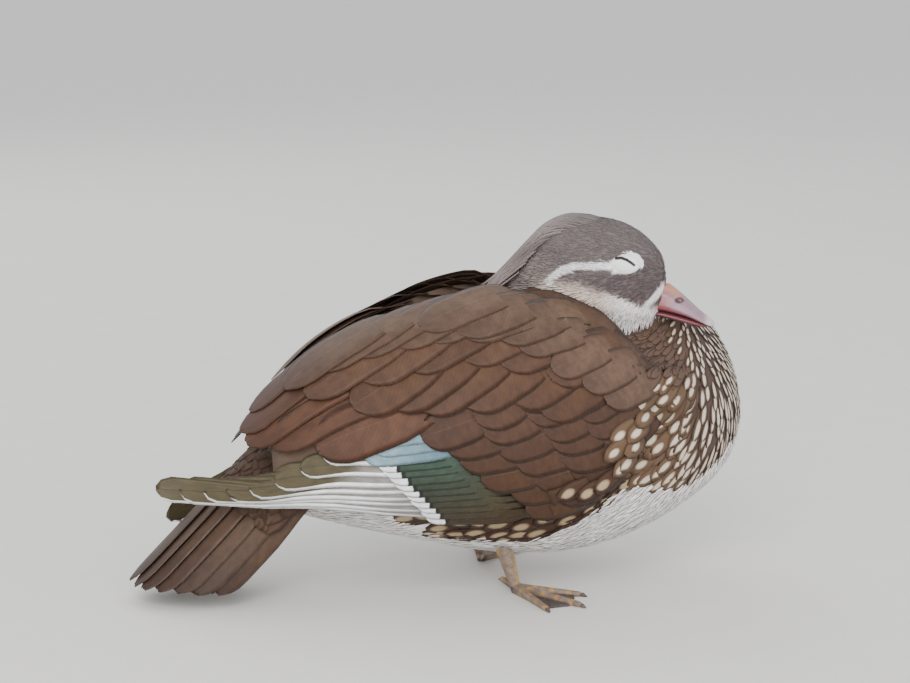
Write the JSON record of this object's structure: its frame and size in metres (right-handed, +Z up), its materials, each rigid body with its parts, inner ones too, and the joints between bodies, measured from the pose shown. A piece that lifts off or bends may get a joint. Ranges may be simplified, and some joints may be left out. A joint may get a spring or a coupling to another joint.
{
  "type": "female mandarin duck, resting",
  "caption": "Life-size model of a female mandarin duck asleep on its feet, head drawn in, eyes closed, bill resting on the breast.",
  "frame": {"origin": "on the floor, under the middle of the bird's box", "axes": "+X the way the breast faces, +Y the bird's left, +Z up"},
  "size_m": [0.3008, 0.141, 0.1781],
  "materials": {
    "body_feathers": "soft overlapping body feathers, brown with pale spots, white below",
    "head_feathers": "short silky grey-brown head feathers",
    "eyelid": "closed lids with tiny white feathers",
    "bill": "satin horn, dusky pink-grey",
    "wing_feathers": "wing feathers, brown with blue-green and white flight feathers",
    "tail_feathers": "brown tail feathers with pale edges",
    "foot_skin": "scaly skin, grey-brown with ochre",
    "claw": "dark horn, satin"
  },
  "bodies": {
    "root": {"torso": "body_feathers", "neck": "body_feathers", "head": "head_feathers", "crest": "head_feathers", "eye_right": "eyelid", "eye_left": "eyelid", "bill_upper": "bill", "bill_lower": "bill", "wing_right": "wing_feathers", "wing_left": "wing_feathers", "tail": "tail_feathers", "leg_right": "foot_skin", "leg_left": "foot_skin", "foot_right": "foot_skin", "foot_left": "foot_skin", "claw_inner_right": "claw", "claw_middle_right": "claw", "claw_outer_right": "claw", "claw_hind_right": "claw", "claw_inner_left": "claw", "claw_middle_left": "claw", "claw_outer_left": "claw", "claw_hind_left": "claw"}
  },
  "joints": []
}
